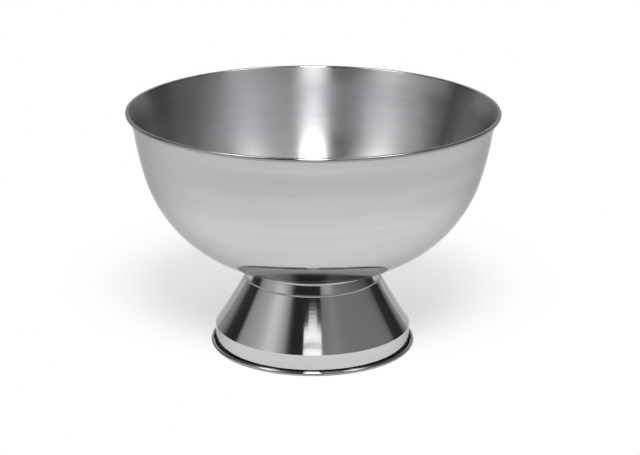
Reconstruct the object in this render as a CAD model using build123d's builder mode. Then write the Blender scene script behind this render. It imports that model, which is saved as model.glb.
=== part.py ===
from build123d import *
import math
import os

os.makedirs("parts", exist_ok=True)

# All sizes are in millimetres. The part stands on z = 0 with its axis on Z.
# Both shells are spun from sheet, and their sections follow the middle of the sheet.

# Bowl
rim_diameter = 380.0  # over the outside of the curled rim
bowl_depth = 167.5  # from the seat on the foot up to the top of the rim
bowl_sheet = 0.8
rim_curl_radius = 2.1  # outside of the curl
rim_curl_sweep = 285.0  # degrees of sheet rolled over into the curl
band_height = 19.1  # flared band, from the crease up to the top of the rim
band_flare = 4.4  # lean of the band, from the crease out to the inside of the curl
wall_flare = 9.8  # lean of the wall, from the heel out to the crease
heel_radius = 139.9  # of the round heel between the flat and the wall
heel_lean = 15.9  # degrees from upright at which the heel runs into the wall

# Foot
seat_height = 82.9  # height of the flat under the bowl
foot_sheet = 0.8
neck_diameter = 132.0  # over the folded bead at the top of the foot
fold_radius = 1.6  # outside of the folded bead
fold_sweep = 50.0  # degrees of the bead that tuck in below its widest place
neck_lean = 22.0  # degrees from upright of the short cone between bead and shoulder
neck_length = 9.6  # slant length of that short cone
shoulder_radius = 3.4  # outside of the round shoulder at the foot of the neck
shoulder_rise = 48.0  # degrees that the sheet turns outward to start the shoulder
hollow_radius = 0.9  # the small hollows below the bead and above the shoulder
cone_lean = 28.5  # degrees from upright at the top of the long cone
well_radius = 1.2  # round corner of the recess in the top of the foot, if it is that deep
skirt_diameter = 202.4
skirt_height = 20.9
foot_curl_radius = 2.2  # outside of the curled edge
foot_curl_flat = 1.2  # width of the flat that the curled edge stands on
foot_curl_sweep = 185.0  # degrees of sheet rolled up beyond the flat

# Fixing between bowl and foot
disc_diameter = 60.0
disc_thickness = 2.0
stud_diameter = 8.0
stud_length = 16.6
stud_chamfer = 0.8
washer_diameter = 40.0
washer_thickness = 1.5
spring_washer_diameter = 14.8
spring_washer_thickness = 2.0
spring_washer_split = 1.2
nut_across_flats = 13.0
nut_height = 6.5
nut_corner = 0.9  # height of the chamfer on the corners of the nut

# Clearances
bead_gap = 0.3  # between the folded bead and the round heel of the bowl
hole_gap = 0.5  # all round the stud in the foot and the washers
thread_gap = 0.1  # all round the stud in the nut


def heading(degrees):
    return Vector(math.cos(math.radians(degrees)), math.sin(math.radians(degrees)))


# Bowl section, from the axis out to the rim
rim_top = seat_height + bowl_depth
curl_path = rim_curl_radius - bowl_sheet / 2
curl_centre = Vector(rim_diameter / 2 - rim_curl_radius, rim_top - rim_curl_radius)
crease = Vector(curl_centre.X - curl_path - band_flare, rim_top - band_height)
heel_reach = heel_radius * math.cos(math.radians(heel_lean))
flat_radius = crease.X - wall_flare - heel_reach
bowl_level = seat_height + bowl_sheet / 2

# The band runs straight up from the crease until it touches the curl
to_curl = curl_centre - crease
band_turn = math.degrees(math.asin(curl_path / to_curl.length))
band_angle = math.degrees(math.atan2(to_curl.Y, to_curl.X)) + band_turn
band_length = math.sqrt(to_curl.length**2 - curl_path**2)

with BuildPart() as bowl:
    with BuildSketch(Plane.XZ):
        with BuildLine():
            bowl_flat = Line((0, bowl_level), (flat_radius, bowl_level))
            heel = JernArc(bowl_flat @ 1, bowl_flat % 1, heel_radius, 90 - heel_lean)
            TangentArc(heel @ 1, crease, tangent=heel % 1)
            band = PolarLine(crease, band_length, band_angle)
            JernArc(band @ 1, band % 1, curl_path, -rim_curl_sweep)
            offset(amount=bowl_sheet / 2, side=Side.BOTH, kind=Kind.INTERSECTION)
        make_face()
    revolve(axis=Axis.Z)
bowl.part.label = "bowl_shell"
export_step(bowl.part, "parts/bowl_shell.step")

# Foot section, from the hole for the stud out to the curled edge
disc_bottom = seat_height - disc_thickness
well_level = disc_bottom - foot_sheet / 2
hole_radius = stud_diameter / 2 + hole_gap
fold_path = fold_radius - foot_sheet / 2
fold_centre_radius = neck_diameter / 2 - fold_radius
beyond_flat = max(fold_centre_radius - flat_radius, 0)
heel_outside = heel_radius + bowl_sheet / 2
heel_rise = heel_outside - math.sqrt(heel_outside**2 - beyond_flat**2)
fold_level = seat_height + heel_rise - bead_gap - fold_radius
well_edge = fold_centre_radius - fold_path
well_corner = min(well_radius, 0.9 * (fold_level - well_level))
shoulder_path = shoulder_radius - foot_sheet / 2
shoulder_turn = shoulder_rise + neck_lean - cone_lean
skirt_path = skirt_diameter / 2 - foot_sheet / 2
foot_curl_path = foot_curl_radius - foot_sheet / 2

with BuildPart() as foot:
    with BuildSketch(Plane.XZ):
        with BuildLine():
            well = FilletPolyline(
                (hole_radius + foot_sheet / 2, well_level),
                (well_edge, well_level),
                (well_edge, fold_level),
                radius=well_corner,
            )
            fold = JernArc(well @ 1, well % 1, fold_path, -180 - fold_sweep)
            tuck = JernArc(fold @ 1, fold % 1, hollow_radius, fold_sweep + neck_lean)
            neck = PolarLine(tuck @ 1, neck_length, neck_lean - 90)
            rise = JernArc(neck @ 1, neck % 1, hollow_radius, shoulder_rise)
            shoulder = JernArc(rise @ 1, rise % 1, shoulder_path, -shoulder_turn)
            cone = TangentArc(shoulder @ 1, (skirt_path, skirt_height), tangent=shoulder % 1)
            skirt = Line(cone @ 1, (skirt_path, foot_curl_radius))
            bottom = JernArc(skirt @ 1, skirt % 1, foot_curl_path, 90)
            stand = PolarLine(bottom @ 1, foot_curl_flat, 0)
            JernArc(stand @ 1, stand % 1, foot_curl_path, foot_curl_sweep)
            offset(amount=foot_sheet / 2, side=Side.BOTH, kind=Kind.ARC)
        make_face()
    revolve(axis=Axis.Z)
foot.part.label = "foot_shell"
export_step(foot.part, "parts/foot_shell.step")

# The disc lies flat under the bowl, and the foot is drawn up against it by the nut
with BuildPart() as disc:
    with BuildSketch(Plane.XY.offset(disc_bottom)):
        Circle(disc_diameter / 2)
    extrude(amount=disc_thickness)
    rims = disc.edges().filter_by(GeomType.CIRCLE).group_by(Axis.Z)[0]
    chamfer(rims, disc_thickness / 4)
disc.part.label = "mounting_disc"
export_step(disc.part, "parts/mounting_disc.step")

with BuildPart() as stud:
    with BuildSketch(Plane.XY.offset(disc_bottom)):
        Circle(stud_diameter / 2)
    extrude(amount=-stud_length)
    chamfer(stud.faces().sort_by(Axis.Z)[0].edges(), stud_chamfer)
stud.part.label = "weld_stud"
export_step(stud.part, "parts/weld_stud.step")

foot_underside = disc_bottom - foot_sheet
with BuildPart() as washer:
    with BuildSketch(Plane.XY.offset(foot_underside)):
        Circle(washer_diameter / 2)
        Circle(hole_radius, mode=Mode.SUBTRACT)
    extrude(amount=-washer_thickness)
washer.part.label = "backing_washer"
export_step(washer.part, "parts/backing_washer.step")

# The split in the spring washer is cut on the slant, as its coil is
washer_underside = foot_underside - washer_thickness
with BuildPart() as spring_washer:
    with BuildSketch(Plane.XY.offset(washer_underside)):
        Circle(spring_washer_diameter / 2)
        Circle(hole_radius, mode=Mode.SUBTRACT)
    extrude(amount=-spring_washer_thickness)
    split_middle = washer_underside - spring_washer_thickness / 2
    with BuildSketch(Plane.YZ):
        with Locations((0, split_middle)):
            Rectangle(spring_washer_split, 4 * spring_washer_thickness, rotation=25)
    extrude(amount=spring_washer_diameter, mode=Mode.SUBTRACT)
spring_washer.part.label = "spring_washer"
export_step(spring_washer.part, "parts/spring_washer.step")

nut_top = washer_underside - spring_washer_thickness
nut_corners = nut_across_flats / math.cos(math.radians(30))
with BuildPart() as nut:
    with BuildSketch(Plane.XY.offset(nut_top)):
        RegularPolygon(nut_across_flats / 2, 6, major_radius=False)
        Circle(stud_diameter / 2 + thread_gap, mode=Mode.SUBTRACT)
    extrude(amount=-nut_height)
    # The lower corners are turned down to a cone that leaves a round land
    with BuildSketch(Plane.XZ):
        with BuildLine():
            Polyline(
                (nut_across_flats / 2, nut_top - nut_height),
                (nut_corners / 2 + nut_corner, nut_top - nut_height),
                (nut_corners / 2 + nut_corner, nut_top - nut_height + nut_corner),
                (nut_corners / 2, nut_top - nut_height + nut_corner),
                close=True,
            )
        make_face()
    revolve(axis=Axis.Z, mode=Mode.SUBTRACT)
nut.part.label = "hex_nut"
export_step(nut.part, "parts/hex_nut.step")
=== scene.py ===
import bpy
import math
from mathutils import Matrix, Vector


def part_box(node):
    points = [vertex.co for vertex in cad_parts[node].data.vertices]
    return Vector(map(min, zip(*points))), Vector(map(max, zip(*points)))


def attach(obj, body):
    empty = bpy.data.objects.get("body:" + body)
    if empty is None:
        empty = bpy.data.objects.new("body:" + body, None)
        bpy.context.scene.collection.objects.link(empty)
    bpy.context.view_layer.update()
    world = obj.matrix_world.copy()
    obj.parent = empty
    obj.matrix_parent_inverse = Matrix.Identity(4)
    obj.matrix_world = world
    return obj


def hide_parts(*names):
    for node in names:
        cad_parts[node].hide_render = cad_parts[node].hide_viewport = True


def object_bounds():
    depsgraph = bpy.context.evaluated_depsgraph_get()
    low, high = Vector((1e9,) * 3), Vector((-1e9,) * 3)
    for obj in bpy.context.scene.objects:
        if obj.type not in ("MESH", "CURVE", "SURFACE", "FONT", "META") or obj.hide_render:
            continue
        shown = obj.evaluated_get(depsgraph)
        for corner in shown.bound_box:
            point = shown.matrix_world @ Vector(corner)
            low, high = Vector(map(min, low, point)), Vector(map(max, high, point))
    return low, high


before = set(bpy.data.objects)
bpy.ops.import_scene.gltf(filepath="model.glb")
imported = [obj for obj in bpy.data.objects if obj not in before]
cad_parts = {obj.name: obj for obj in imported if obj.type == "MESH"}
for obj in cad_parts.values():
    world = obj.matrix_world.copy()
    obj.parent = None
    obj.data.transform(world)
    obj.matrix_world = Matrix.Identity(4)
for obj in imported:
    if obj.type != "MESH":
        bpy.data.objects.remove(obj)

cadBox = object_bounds()
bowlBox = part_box("bowl_shell")
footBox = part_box("foot_shell")
print("frame loaded:", len(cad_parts), "nodes")


class Wire:
    # one socket; arithmetic on it adds Math nodes
    def __init__(self, board, socket):
        self.board = board
        self.socket = socket

    def maths(self, operation, *others):
        values = dict(enumerate((self, *others)))
        return self.board.node("ShaderNodeMath", {"operation": operation}, values)

    def flipped(self, operation, other):
        return self.board.node("ShaderNodeMath", {"operation": operation}, {0: other, 1: self})

    def __add__(self, other):
        return self.maths("ADD", other)

    def __radd__(self, other):
        return self.maths("ADD", other)

    def __sub__(self, other):
        return self.maths("SUBTRACT", other)

    def __rsub__(self, other):
        return self.flipped("SUBTRACT", other)

    def __mul__(self, other):
        return self.maths("MULTIPLY", other)

    def __rmul__(self, other):
        return self.maths("MULTIPLY", other)

    def __truediv__(self, other):
        return self.maths("DIVIDE", other)

    def __rtruediv__(self, other):
        return self.flipped("DIVIDE", other)

    def __pow__(self, other):
        return self.maths("POWER", other)


class Board:
    # the node tree of one finish or of the world
    def __init__(self, owner):
        owner.use_nodes = True
        self.tree = owner.node_tree
        self.tree.nodes.clear()

    def node(self, kind, settings=None, sockets=None, output=0):
        made = self.tree.nodes.new(kind)
        for name, value in (settings or {}).items():
            if name == "stops":
                for place, level in value[1:-1]:
                    made.color_ramp.elements.new(place)
                for stop, (place, level) in zip(made.color_ramp.elements, value):
                    stop.position = place
                    stop.color = (level, level, level, 1)
            else:
                setattr(made, name, value)
        for name, value in (sockets or {}).items():
            if isinstance(value, Wire):
                self.tree.links.new(value.socket, made.inputs[name])
            else:
                made.inputs[name].default_value = value
        return Wire(self, made.outputs[output]) if made.outputs else made

    def outputs(self, wire, *names):
        # wires from the named outputs of the node that this one comes from
        return [Wire(self, wire.socket.node.outputs[name]) for name in names]

    def split(self, vector):
        return self.outputs(self.node("ShaderNodeSeparateXYZ", {}, {0: vector}), "X", "Y", "Z")

    def join(self, x, y, z):
        return self.node("ShaderNodeCombineXYZ", {}, {0: x, 1: y, 2: z})

    def rays(self):
        # 1 for what the camera sees, and 1 for what a shiny surface mirrors
        return self.outputs(self.node("ShaderNodeLightPath"), "Is Camera Ray", "Is Glossy Ray")

    def noise(self, vector, scale, detail):
        return self.node("ShaderNodeTexNoise", {"noise_dimensions": "3D"},
                         {"Vector": vector, "Scale": scale, "Detail": detail, "Roughness": 0.5})

    def ease(self, value, low, high, outLow=0.0, outHigh=1.0):
        return self.node("ShaderNodeMapRange", {"interpolation_type": "SMOOTHSTEP", "clamp": True},
                         {"Value": value, "From Min": low, "From Max": high,
                          "To Min": outLow, "To Max": outHigh})

    def band(self, value, low, high, edge):
        # 1 from low to high, with soft edges
        half = edge / 2
        return (self.ease(value, low - half, low + half)
                * self.ease(value, high - half, high + half, 1, 0))

    def blend(self, factor, first, second):
        return self.node("ShaderNodeMix", {"data_type": "FLOAT"}, {0: factor, 2: first, 3: second})

    def mixColour(self, factor, first, second):
        return self.node("ShaderNodeMix", {"data_type": "RGBA"},
                         {0: factor, 6: first, 7: second}, output=2)

    def finish(self, shader, kind="ShaderNodeOutputMaterial"):
        self.node(kind, {}, {"Surface": shader})


cameraPlace = {
    "target": (0.0073, 0.0, 0.1229),
    "distance": 2.0,
    "elevation": 17.88,
    "roll": 0.3,
    "lens": 108.9,
    "sensor": 36.0,
    "nearest": 0.05, "farthest": 60.0,
}


def makeCamera():
    elevation = math.radians(cameraPlace["elevation"])
    towardsCamera = Vector((0, -math.cos(elevation), math.sin(elevation)))
    stand = Vector(cameraPlace["target"]) + towardsCamera * cameraPlace["distance"]
    bpy.ops.object.select_all(action="DESELECT")
    bpy.ops.object.camera_add(location=stand)
    camera = bpy.context.object
    camera.name = "studioCamera"
    camera.data.sensor_width = cameraPlace["sensor"]
    camera.data.lens = cameraPlace["lens"]
    camera.data.clip_start = cameraPlace["nearest"]
    camera.data.clip_end = cameraPlace["farthest"]
    aim = (-towardsCamera).to_track_quat("-Z", "Y").to_matrix().to_4x4()
    roll = Matrix.Rotation(math.radians(cameraPlace["roll"]), 4, "Z")
    camera.matrix_world = Matrix.Translation(stand) @ aim @ roll
    bpy.context.scene.camera = camera
    bpy.context.scene.view_settings.view_transform = "Standard"


floorPlace = {
    "size": 24.0,
    "drop": 0.0002,  # below the foot, so that the two never share a plane
    "paper": (0.90, 0.90, 0.90, 1),
    # round this spot the paper shows its shadow, and further out it is white
    "shadowCentre": (0.0, 0.22, 0.0), "fadeFrom": 0.15, "fadeTo": 0.31, "veil": 0.30,
    # how the steel sees the paper, by the distance from the axis: painted light, a white glow that is
    # brighter near the axis than far out
    "mirrorFrom": 0.18, "mirrorTo": 0.50, "mirrorVeil": 0.75, "glowNear": 1.10, "glowFar": 0.84,
}


def makeFloor():
    bpy.ops.object.select_all(action="DESELECT")
    bpy.ops.mesh.primitive_plane_add(size=floorPlace["size"],
                                     location=(0, 0, cadBox[0].z - floorPlace["drop"]))
    floor = bpy.context.object
    floor.name = "studioFloor"
    paper = bpy.data.materials.new("studioPaper")
    board = Board(paper)
    place = board.node("ShaderNodeTexCoord", output="Object")
    fromAxis = board.node("ShaderNodeVectorMath", {"operation": "LENGTH"}, {0: place}, output="Value")
    fromShadow = board.node("ShaderNodeVectorMath", {"operation": "DISTANCE"},
                            {0: place, 1: floorPlace["shadowCentre"]}, output="Value")
    fade = board.ease(fromShadow, floorPlace["fadeFrom"], floorPlace["fadeTo"])
    mirrorFade = board.ease(fromAxis, floorPlace["mirrorFrom"], floorPlace["mirrorTo"])
    seen, mirrored = board.rays()
    white = (seen * board.blend(fade, floorPlace["veil"], 1.0)
             + mirrored * board.blend(mirrorFade, floorPlace["mirrorVeil"], 1.0))
    # painted light: in what the steel mirrors, the paper glows brighter near the axis than further out
    paintedGlow = board.blend(mirrorFade, floorPlace["glowNear"], floorPlace["glowFar"])
    strength = board.blend(mirrored, 1.0, paintedGlow)
    matte = board.node("ShaderNodeBsdfDiffuse", {}, {"Color": floorPlace["paper"]})
    lit = board.node("ShaderNodeEmission", {}, {"Color": (1, 1, 1, 1), "Strength": strength})
    board.finish(board.node("ShaderNodeMixShader", {}, {0: white, 1: matte, 2: lit}))
    floor.data.materials.append(paper)


# The studio as the polished metal sees it, in degrees. Three rings of walls, one above the other,
# go round as (azimuth from the camera's side towards +X, level); softboxes lie over them.
studio = {
    "lowWalls": [
        (-180, 0.70), (-150, 0.60), (-132, 0.35), (-122, 0.06), (-104, 0.04), (-98, 0.35),
        (-84, 0.50), (-70, 0.60), (-50, 0.47), (-38, 0.36), (-27, 0.10), (-20, 0.05),
        (20, 0.05), (26, 0.18), (50, 0.17), (100, 0.12), (112, 0.05), (130, 0.03),
        (138, 0.35), (150, 0.60), (180, 0.70),
    ],
    "highWalls": [
        (-180, 0.90), (-132, 0.55), (-126, 0.15), (-121, 0.03), (-105, 0.03), (-100, 0.40),
        (-90, 0.48), (-78, 0.58), (-70, 0.72), (-62, 0.93), (-54, 0.86), (-46, 0.60),
        (-40, 0.40), (-34, 0.10), (-29, 0.03), (13, 0.03), (16, 0.26), (33, 0.35),
        (45, 0.29), (60, 0.27), (110, 0.25), (114, 0.03), (128, 0.03), (134, 0.25),
        (140, 0.60), (180, 0.90),
    ],
    "topWalls": [
        (-180, 0.35), (-132, 0.25), (-124, 0.05), (-106, 0.05), (-100, 0.40), (-80, 1.00),
        (-62, 1.20), (-46, 0.80), (-38, 0.45), (-30, 0.06), (-22, 0.03), (15, 0.03),
        (17, 1.00), (33, 1.00), (60, 1.10), (94, 0.80), (104, 0.10), (128, 0.05),
        (136, 0.25), (180, 0.35),
    ],
    "softboxes": [
        {"across": (-6, 7), "up": (39.4, 41.8), "edge": 2.2, "level": 1.1},
        {"across": (-12.5, 13.5), "up": (41.4, 43.9), "edge": 0.6, "level": 1.75},
        {"across": (-12.5, 13.5), "up": (44.6, 50.5), "edge": 0.4, "level": 1.8},
        {"across": (-10.5, 11.5), "up": (50.5, 74), "edge": 0.6, "level": 23.0},
        {"across": (60, 84), "up": (50, 74), "edge": 8, "level": 8.0},
        {"across": (-86, -62), "up": (50, 74), "edge": 8, "level": 8.5},
        {"across": (16, 34), "up": (18, 25), "edge": 10, "level": 0.6},
    ],
    # the heights at which one ring goes over into the next, and the last into the ceiling
    "highFrom": 8, "highTo": 24,
    "topFrom": 45, "topTo": 52,
    "ceilingFrom": 66, "ceilingTo": 80, "ceiling": 0.50,
    "belowFrom": -1, "belowTo": 1, "below": 1.0,
    "room": 0.88,  # what lights everything that isn't mirrored
    "backdrop": 1.0,  # what the camera sees past the floor
}


def makeWorld():
    world = bpy.data.worlds.new("studioWorld")
    world.cycles.sampling_method = "NONE"  # so that the kinds of ray are told apart
    bpy.context.scene.world = world
    board = Board(world)
    x, y, z = board.split(board.node("ShaderNodeTexCoord", output="Generated"))
    azimuth = x.maths("ARCTAN2", y * -1) * math.degrees(1)
    height = z.maths("ARCSINE") * math.degrees(1)
    turn = azimuth / 360 + 0.5
    rings = []
    for walls in ("lowWalls", "highWalls", "topWalls"):
        stops = [(degrees / 360 + 0.5, level) for degrees, level in studio[walls]]
        rings.append(board.node("ShaderNodeValToRGB", {"stops": stops}, {0: turn}))
    low, high, top = rings
    level = board.blend(board.ease(height, studio["highFrom"], studio["highTo"]), low, high)
    level = board.blend(board.ease(height, studio["topFrom"], studio["topTo"]), level, top)
    toCeiling = board.ease(height, studio["ceilingFrom"], studio["ceilingTo"])
    level = board.blend(toCeiling, level, studio["ceiling"])
    for box in studio["softboxes"]:
        mask = (board.band(height, *box["up"], box["edge"])
                * board.band(azimuth, *box["across"], box["edge"]))
        level = board.blend(mask, level, box["level"])
    toBelow = board.ease(height, studio["belowFrom"], studio["belowTo"], 1, 0)
    level = board.blend(toBelow, level, studio["below"])
    seen, mirrored = board.rays()
    strength = board.blend(seen, board.blend(mirrored, studio["room"], level), studio["backdrop"])
    background = board.node("ShaderNodeBackground", {}, {"Color": (1, 1, 1, 1), "Strength": strength})
    board.finish(background, "ShaderNodeOutputWorld")


frontLamp = {
    "azimuth": 5, "height": 56,
    "distance": 2.4,
    "aim": (0, 0, 0.1),
    "size": 0.9,
    "power": 24.0,
}


def makeLamp():
    azimuth, height = math.radians(frontLamp["azimuth"]), math.radians(frontLamp["height"])
    away = Vector((math.sin(azimuth) * math.cos(height),
                   -math.cos(azimuth) * math.cos(height),
                   math.sin(height)))
    bpy.ops.object.select_all(action="DESELECT")
    bpy.ops.object.light_add(type="AREA",
                             location=away * frontLamp["distance"] + Vector(frontLamp["aim"]))
    light = bpy.context.object
    light.name = "frontSoftbox"
    light.data.shape = "SQUARE"
    light.data.size = frontLamp["size"]
    light.data.energy = frontLamp["power"]
    light.rotation_euler = away.to_track_quat("Z", "Y").to_euler()
    light.visible_camera = False
    light.visible_glossy = False  # the steel mirrors the softboxes of the world


makeCamera()
makeFloor()
makeWorld()
makeLamp()
print("studio set up")


def turnedPlaces(board, nearAxis=0.0005):
    # where a point lies round the axis, and how far out and along the section
    place = board.node("ShaderNodeTexCoord", output="Object")
    x, y, z = board.split(place)
    out = ((x * x + y * y) ** 0.5).maths("MAXIMUM", nearAxis)
    return place, (x / out, y / out, out + z)


def turnedLines(board, spot, stretch, fineness, detail):
    # noise drawn out round the axis, as a lathe leaves it
    roundX, roundY, along = spot
    return board.noise(board.join(roundX * stretch, roundY * stretch, along * fineness), 1.0, detail)


def tint(board, settings, first, second):
    # goes from one colour to the other with a mixture of two noises
    mixture = first * settings["share"] + second * (1 - settings["share"])
    return board.mixColour(board.ease(mixture, *settings["spread"]), settings["steel"], settings["pale"])


def finishMetal(board, settings, shade, rough, height):
    bump = board.node("ShaderNodeBump", {}, {**settings["relief"], "Height": height})
    board.finish(board.node("ShaderNodeBsdfPrincipled", {}, {
        "Base Color": shade, "Metallic": 1.0, "Roughness": rough, "Normal": bump,
        **settings["shader"]}))


polish = {
    "steel": (0.54, 0.53, 0.543, 1), "pale": (0.58, 0.572, 0.583, 1),
    "share": 0.6, "spread": (0.35, 0.65),
    "marks": {"stretch": 1.2, "fineness": 900, "detail": 3},
    "bands": {"stretch": 0.4, "fineness": 70, "detail": 2},
    "smudges": {"scale": 14.0, "detail": 3},
    "smudgeSpread": (0.4, 0.7),
    "roughness": 0.07, "smudgeRoughness": 0.035, "markRoughness": 0.03,
    "relief": {"Strength": 0.06, "Distance": 0.0002},
    "shader": {"Specular Tint": (0.62, 0.62, 0.63, 1)},
}

# painted shade: a darker copy of the polish for the curled edges, standing in for the shadow and dark
# reflection under each curl
curlShadePolish = {
    **polish,
    "steel": (0.34, 0.335, 0.345, 1), "pale": (0.38, 0.375, 0.385, 1),
    "roughness": 0.09,
    "shader": {"Specular Tint": (0.60, 0.60, 0.61, 1)},
}


def makePolish(name, settings):
    metal = bpy.data.materials.new(name)
    board = Board(metal)
    place, spot = turnedPlaces(board)
    marks = turnedLines(board, spot, **settings["marks"])
    bands = turnedLines(board, spot, **settings["bands"])
    smudges = board.noise(place, **settings["smudges"])
    shade = tint(board, settings, bands, smudges)
    rough = (settings["roughness"]
             + board.ease(smudges, *settings["smudgeSpread"]) * settings["smudgeRoughness"]
             + (marks - 0.5) * settings["markRoughness"])
    finishMetal(board, settings, shade, rough, marks)
    return metal


brush = {
    "steel": (0.53, 0.52, 0.535, 1), "pale": (0.59, 0.58, 0.595, 1),
    "share": 0.6, "spread": (0.3, 0.7),
    "fine": {"stretch": 2.5, "fineness": 1600, "detail": 2},
    "coarse": {"stretch": 0.9, "fineness": 160, "detail": 2},
    "smudges": {"scale": 9.0, "detail": 3},
    "roughness": 0.30, "coarseRoughness": 0.04, "smudgeRoughness": 0.03,
    "relief": {"Strength": 0.015, "Distance": 0.0001},
    "shader": {"Anisotropic": 0.98, "Anisotropic Rotation": 0.25},
}


def makeBrush(name, settings):
    metal = bpy.data.materials.new(name)
    board = Board(metal)
    place, spot = turnedPlaces(board)
    fine = turnedLines(board, spot, **settings["fine"])
    coarse = turnedLines(board, spot, **settings["coarse"])
    smudges = board.noise(place, **settings["smudges"])
    shade = tint(board, settings, fine, coarse)
    rough = (settings["roughness"] + (coarse - 0.5) * settings["coarseRoughness"]
             + (smudges - 0.5) * settings["smudgeRoughness"])
    finishMetal(board, settings, shade, rough, fine)
    return metal


turned = {
    "steel": (0.47, 0.465, 0.475, 1), "pale": (0.56, 0.555, 0.565, 1),
    "share": 0.5, "spread": (0.35, 0.65),
    "rings": {"stretch": 0.5, "fineness": 2400, "detail": 2},
    "mottle": {"scale": 420.0, "detail": 3},
    "stains": {"scale": 60.0, "detail": 2},
    "roughness": 0.30, "ringRoughness": 0.12, "stainRoughness": 0.10,
    "relief": {"Strength": 0.10, "Distance": 0.0001},
    "shader": {},
}

zinc = {
    **turned,
    "steel": (0.50, 0.51, 0.53, 1), "pale": (0.63, 0.64, 0.66, 1),
    "rings": {"stretch": 0.5, "fineness": 700, "detail": 2},
    "roughness": 0.34,
}


def makeFixing(name, settings):
    # turned or plated steel for the fixing: fine rings round the axis over a mottled colour
    metal = bpy.data.materials.new(name)
    board = Board(metal)
    place, spot = turnedPlaces(board)
    rings = turnedLines(board, spot, **settings["rings"])
    mottle = board.noise(place, **settings["mottle"])
    stains = board.noise(place, **settings["stains"])
    shade = tint(board, settings, mottle, stains)
    rough = (settings["roughness"] + (rings - 0.5) * settings["ringRoughness"]
             + (stains - 0.5) * settings["stainRoughness"])
    finishMetal(board, settings, shade, rough, rings)
    return metal


polishedSteel = makePolish("polishedSteel", polish)
curlShadeSteel = makePolish("curlShadeSteel", curlShadePolish)
brushedSteel = makeBrush("brushedSteel", brush)
turnedSteel = makeFixing("turnedSteel", turned)
zincSteel = makeFixing("zincSteel", zinc)
print("finishes made")


def heading(degrees):
    return Vector((math.cos(math.radians(degrees)), 0, math.sin(math.radians(degrees))))


class SectionPen:
    # draws a section by extruding and spinning its last vertex, then spins it all round
    seedRadius = 0.0001
    mergeDistance = 0.00002

    def __init__(self, name, start, degrees):
        bpy.ops.object.select_all(action="DESELECT")
        bpy.ops.mesh.primitive_circle_add(vertices=3, radius=self.seedRadius, location=(0, 0, 0))
        self.piece = bpy.context.object
        self.piece.name = name
        self.piece.data.name = name
        bpy.ops.object.mode_set(mode="EDIT")
        bpy.ops.mesh.select_mode(type="VERT")
        bpy.ops.mesh.select_all(action="SELECT")
        bpy.ops.mesh.merge(type="CENTER")
        self.place = Vector((start[0], 0, start[1]))
        bpy.ops.transform.translate(value=self.place)
        self.degrees = degrees

    def run(self, length, parts=1):
        # straight on
        step = heading(self.degrees) * (length / parts)
        for part in range(parts):
            bpy.ops.mesh.extrude_vertices_move(TRANSFORM_OT_translate={"value": step})
        self.place = self.place + heading(self.degrees) * length

    def turn(self, radius, degrees, parts):
        # along an arc, to the left for degrees above 0
        side = 90 if degrees > 0 else -90
        centre = self.place + heading(self.degrees + side) * radius
        bpy.ops.mesh.spin(steps=parts, angle=math.radians(degrees), center=centre, axis=(0, 1, 0))
        self.place = centre - heading(self.degrees + degrees + side) * radius
        self.degrees += degrees

    def turnTo(self, point, parts):
        # along the one arc that sets off straight on and ends at the point
        chord = Vector((point[0], 0, point[1])) - self.place
        towards = math.degrees(math.atan2(chord.z, chord.x))
        half = (towards - self.degrees + 180) % 360 - 180
        self.turn(chord.length / 2 / abs(math.sin(math.radians(half))), 2 * half, parts)

    def spinRound(self, parts):
        bpy.ops.mesh.select_all(action="SELECT")
        bpy.ops.mesh.spin(steps=parts, angle=2 * math.pi, center=(0, 0, 0), axis=(0, 0, 1))
        bpy.ops.mesh.select_all(action="SELECT")
        bpy.ops.mesh.remove_doubles(threshold=self.mergeDistance)
        bpy.ops.mesh.normals_make_consistent(inside=False)
        bpy.ops.object.mode_set(mode="OBJECT")
        return self.piece


def applyAll(piece):
    bpy.ops.object.select_all(action="DESELECT")
    piece.select_set(True)
    bpy.context.view_layer.objects.active = piece
    for modifier in list(piece.modifiers):
        bpy.ops.object.modifier_apply(modifier=modifier.name)


def faceOut(piece, distance):
    # turns an open shell over if its nearest face by this distance looks inwards
    face = min(piece.data.polygons, key=distance)
    if face.normal.dot(Vector((face.center.x, face.center.y, 0))) < 0:
        bpy.ops.object.mode_set(mode="EDIT")
        bpy.ops.mesh.select_all(action="SELECT")
        bpy.ops.mesh.flip_normals()
        bpy.ops.object.mode_set(mode="OBJECT")


def thicken(piece, sizes):
    # gives the shell its sheet, polished outside and brushed inside
    piece.data.materials.append(polishedSteel)
    piece.data.materials.append(brushedSteel)
    wall = piece.modifiers.new("sheet", "SOLIDIFY")
    wall.thickness = sizes["sheet"]
    wall.offset = 0
    wall.use_even_offset = True
    wall.use_rim = True
    wall.material_offset = 1
    wall.material_offset_rim = 0
    applyAll(piece)
    bpy.ops.object.shade_smooth_by_angle(angle=math.radians(sizes["creaseAngle"]))


def paintCurlShade(piece, isCurled):
    # painted shade: a darker polish on the faces that lie in the curled edge, standing in for the shadow
    # and dark reflection under the curl
    piece.data.materials.append(curlShadeSteel)
    curlShadeSlot = len(piece.data.materials) - 1
    for face in piece.data.polygons:
        if isCurled(math.hypot(face.center.x, face.center.y), face.center.z):
            face.material_index = curlShadeSlot


bowlSizes = {
    "sheet": 0.0008,
    "curlRadius": 0.0021,
    "curlSweep": 285.0,
    "curlShadeReach": 1.05,  # in curl radii, from the middle of the curl
    "bandHeight": 0.0191,
    "bandFlare": 0.0044,
    "wallFlare": 0.0098,
    "heelRadius": 0.1399,
    "heelLean": 15.9,
    "creaseAngle": 25,
    "around": 256,
    "flatParts": 6, "heelParts": 48, "wallParts": 16, "bandParts": 4, "curlParts": 28,
}


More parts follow.
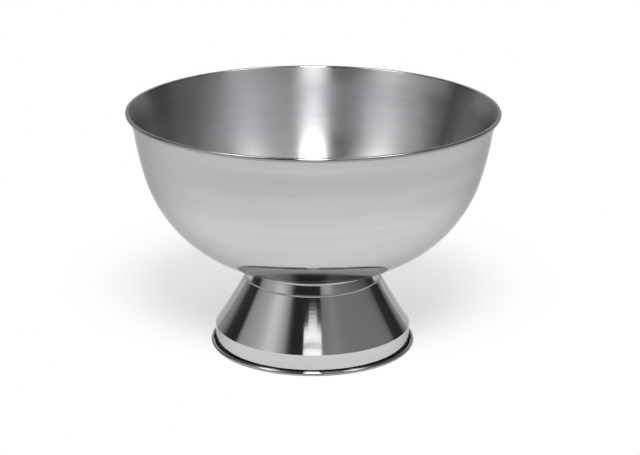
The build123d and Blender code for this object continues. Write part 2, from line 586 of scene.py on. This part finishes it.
def makeBowl():
    sizes = bowlSizes
    rimRadius = bowlBox[1].x
    seat, rimTop = bowlBox[0].z, bowlBox[1].z
    curlPath = sizes["curlRadius"] - sizes["sheet"] / 2
    curlCentre = Vector((rimRadius - sizes["curlRadius"], 0, rimTop - sizes["curlRadius"]))
    crease = Vector((curlCentre.x - curlPath - sizes["bandFlare"], 0, rimTop - sizes["bandHeight"]))
    heelReach = sizes["heelRadius"] * math.cos(math.radians(sizes["heelLean"]))
    flatRadius = crease.x - sizes["wallFlare"] - heelReach
    toCurl = curlCentre - crease
    bandAngle = math.degrees(math.atan2(toCurl.z, toCurl.x) + math.asin(curlPath / toCurl.length))
    bandLength = math.sqrt(toCurl.length ** 2 - curlPath ** 2)
    pen = SectionPen("bowl", (0, seat + sizes["sheet"] / 2), 0)
    pen.run(flatRadius, sizes["flatParts"])
    pen.turn(sizes["heelRadius"], 90 - sizes["heelLean"], sizes["heelParts"])
    pen.turnTo((crease.x, crease.z), sizes["wallParts"])
    pen.degrees = bandAngle
    pen.run(bandLength, sizes["bandParts"])
    pen.turn(curlPath, -sizes["curlSweep"], sizes["curlParts"])
    piece = pen.spinRound(sizes["around"])
    faceOut(piece, lambda face: abs(face.center.z - (seat + rimTop) / 2))
    thicken(piece, sizes)
    # painted shade on the faces round the middle of the bowl's curl
    reach = sizes["curlRadius"] * sizes["curlShadeReach"]
    paintCurlShade(piece, lambda out, up: math.hypot(out - curlCentre.x, up - curlCentre.z) < reach)
    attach(piece, "root")
    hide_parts("bowl_shell")
    return piece


footSizes = {
    "sheet": 0.0008,
    "discThickness": 0.0020,
    "holeRadius": 0.0045,
    "wellRadius": 0.0012,
    "wellShare": 0.9,  # the corner of the well takes no more of its depth than this
    "beadGap": 0.0003,
    "neckRadius": 0.0660,
    "foldRadius": 0.0016,
    "foldSweep": 50.0,
    "neckLean": 22.0,
    "neckLength": 0.0096,
    "hollowRadius": 0.0009,
    "shoulderRadius": 0.0034,
    "shoulderRise": 48.0,
    "coneLean": 28.5,
    "skirtRadius": 0.1012,
    "skirtHeight": 0.0209,
    "curlRadius": 0.0022,
    "curlFlat": 0.0012,
    "curlSweep": 185.0,
    "curlShadeFrom": 0.75,  # in sheets, out from the middle of the skirt's sheet
    "creaseAngle": 25,
    "around": 256,
    "wellParts": 6, "cornerParts": 8, "foldParts": 28, "hollowParts": 10, "neckParts": 3,
    "riseParts": 8, "shoulderParts": 10, "coneParts": 24, "skirtParts": 4, "bendParts": 10,
    "curlParts": 20,
}


def makeFoot():
    sizes = footSizes
    half = sizes["sheet"] / 2
    seat = bowlBox[0].z
    wellLevel = seat - sizes["discThickness"] - half
    foldPath = sizes["foldRadius"] - half
    foldCentre = sizes["neckRadius"] - sizes["foldRadius"]
    # the bead of the foot follows the heel of the bowl just outside the bowl's flat
    heelRadius = bowlSizes["heelRadius"] + bowlSizes["sheet"] / 2
    heelReach = bowlSizes["heelRadius"] * math.cos(math.radians(bowlSizes["heelLean"]))
    flatRadius = (bowlBox[1].x - 2 * bowlSizes["curlRadius"] + bowlSizes["sheet"] / 2
                  - bowlSizes["bandFlare"] - bowlSizes["wallFlare"] - heelReach)
    beyondFlat = max(foldCentre - flatRadius, 0)
    heelRise = heelRadius - math.sqrt(heelRadius ** 2 - beyondFlat ** 2)
    foldLevel = seat + heelRise - sizes["beadGap"] - sizes["foldRadius"]
    wellEdge = foldCentre - foldPath
    corner = min(sizes["wellRadius"], sizes["wellShare"] * (foldLevel - wellLevel))
    skirtPath = sizes["skirtRadius"] - half
    curlPath = sizes["curlRadius"] - half
    pen = SectionPen("foot", (sizes["holeRadius"], wellLevel), 0)
    pen.run(wellEdge - corner - sizes["holeRadius"], sizes["wellParts"])
    pen.turn(corner, 90, sizes["cornerParts"])
    pen.run(foldLevel - wellLevel - corner)
    pen.turn(foldPath, -180 - sizes["foldSweep"], sizes["foldParts"])
    pen.turn(sizes["hollowRadius"], sizes["foldSweep"] + sizes["neckLean"], sizes["hollowParts"])
    pen.run(sizes["neckLength"], sizes["neckParts"])
    pen.turn(sizes["hollowRadius"], sizes["shoulderRise"], sizes["riseParts"])
    pen.turn(sizes["shoulderRadius"] - half,
             sizes["coneLean"] - sizes["neckLean"] - sizes["shoulderRise"], sizes["shoulderParts"])
    pen.turnTo((skirtPath, footBox[0].z + sizes["skirtHeight"]), sizes["coneParts"])
    pen.degrees = -90
    pen.run(sizes["skirtHeight"] - sizes["curlRadius"], sizes["skirtParts"])
    pen.turn(curlPath, 90, sizes["bendParts"])
    pen.run(sizes["curlFlat"])
    pen.turn(curlPath, sizes["curlSweep"], sizes["curlParts"])
    piece = pen.spinRound(sizes["around"])
    faceOut(piece, lambda face: abs(face.center.z - sizes["skirtHeight"] / 2)
            + abs(math.hypot(face.center.x, face.center.y) - skirtPath))
    thicken(piece, sizes)
    # painted shade on the faces of the foot's curl, out past the skirt
    curlTop = footBox[0].z + 2 * sizes["curlRadius"]
    curlEdge = skirtPath + sizes["sheet"] * sizes["curlShadeFrom"]
    paintCurlShade(piece, lambda out, up: up < curlTop and out > curlEdge)
    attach(piece, "root")
    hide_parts("foot_shell")
    return piece


bowl = makeBowl()
print("bowl spun:", len(bowl.data.polygons), "faces")
foot = makeFoot()
print("foot spun:", len(foot.data.polygons), "faces")

fixingFinishes = {
    "mounting_disc": turnedSteel,
    "weld_stud": zincSteel,
    "backing_washer": turnedSteel,
    "spring_washer": zincSteel,
    "hex_nut": zincSteel,
}
for name, finish in fixingFinishes.items():
    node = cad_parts[name]
    node.data.materials.clear()
    node.data.materials.append(finish)
print("finishes set")
